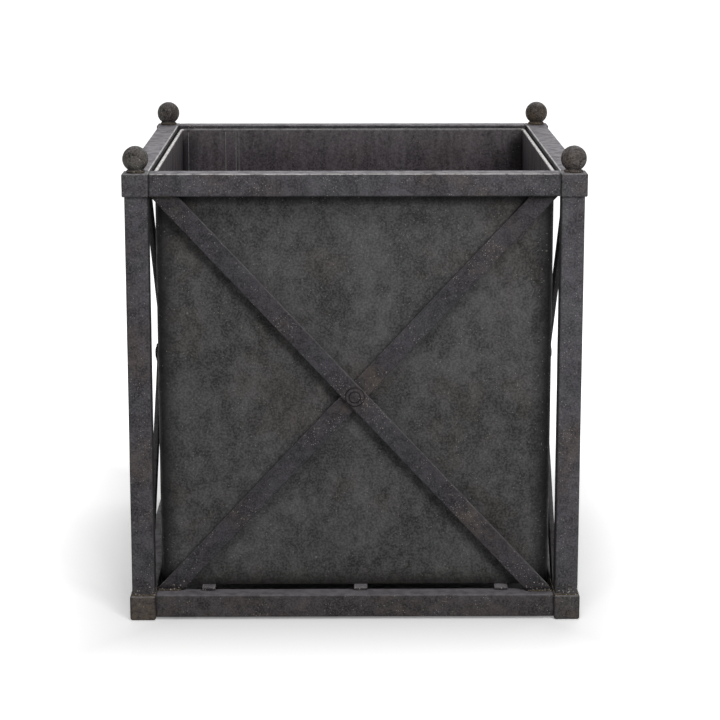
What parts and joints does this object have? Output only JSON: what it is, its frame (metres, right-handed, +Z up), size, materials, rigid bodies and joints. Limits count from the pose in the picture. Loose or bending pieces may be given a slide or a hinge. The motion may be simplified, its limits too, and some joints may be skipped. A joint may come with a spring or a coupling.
{
  "type": "versailles planter",
  "caption": "Square metal planter: a frame of tube with a riveted cross on each side and ball finials on the corners, holding a sheet-metal liner that lifts out.",
  "frame": {"origin": "centre of the planter on the floor, under the feet", "axes": "+Z up through the planter, -Y towards the front, +X to the right as seen from the front"},
  "size_m": [0.5, 0.5, 0.5286],
  "materials": {
    "square_tube": "dark graphite patina, worn pale and brown along the edges",
    "casting": "dark patina with brown rust bloom",
    "finial": "dark patina, pitted, with pale chips and a brown weld ring",
    "flat_bar": "dark graphite patina, edges worn bright",
    "rivet": "dark patina, rubbed at the rim",
    "liner_sheet": "matt mottled dark patina on sheet, pale along the rim"
  },
  "bodies": {
    "frame": {"post_front_left": "square_tube", "foot_front_left": "casting", "corner_cap_front_left": "casting", "ball_finial_front_left": "finial", "post_front_right": "square_tube", "foot_front_right": "casting", "corner_cap_front_right": "casting", "ball_finial_front_right": "finial", "post_back_right": "square_tube", "foot_back_right": "casting", "corner_cap_back_right": "casting", "ball_finial_back_right": "finial", "post_back_left": "square_tube", "foot_back_left": "casting", "corner_cap_back_left": "casting", "ball_finial_back_left": "finial", "top_rail_front": "square_tube", "bottom_rail_front": "square_tube", "brace_falling_front": "flat_bar", "brace_rising_front": "flat_bar", "brace_rivet_front": "rivet", "brace_washer_front": "rivet", "top_rail_right": "square_tube", "bottom_rail_right": "square_tube", "brace_falling_right": "flat_bar", "brace_rising_right": "flat_bar", "brace_rivet_right": "rivet", "brace_washer_right": "rivet", "top_rail_back": "square_tube", "bottom_rail_back": "square_tube", "brace_falling_back": "flat_bar", "brace_rising_back": "flat_bar", "brace_rivet_back": "rivet", "brace_washer_back": "rivet", "top_rail_left": "square_tube", "bottom_rail_left": "square_tube", "brace_falling_left": "flat_bar", "brace_rising_left": "flat_bar", "brace_rivet_left": "rivet", "brace_washer_left": "rivet", "support_strip_left": "flat_bar", "support_strip_middle": "flat_bar", "support_strip_right": "flat_bar"},
    "liner": {"liner_wall": "liner_sheet", "liner_floor": "liner_sheet"}
  },
  "joints": [
    {"name": "liner_lift", "type": "slide", "parent": "frame", "child": "liner", "axis": [0, 0, 1], "range_m": [0, 0.5]}
  ]
}
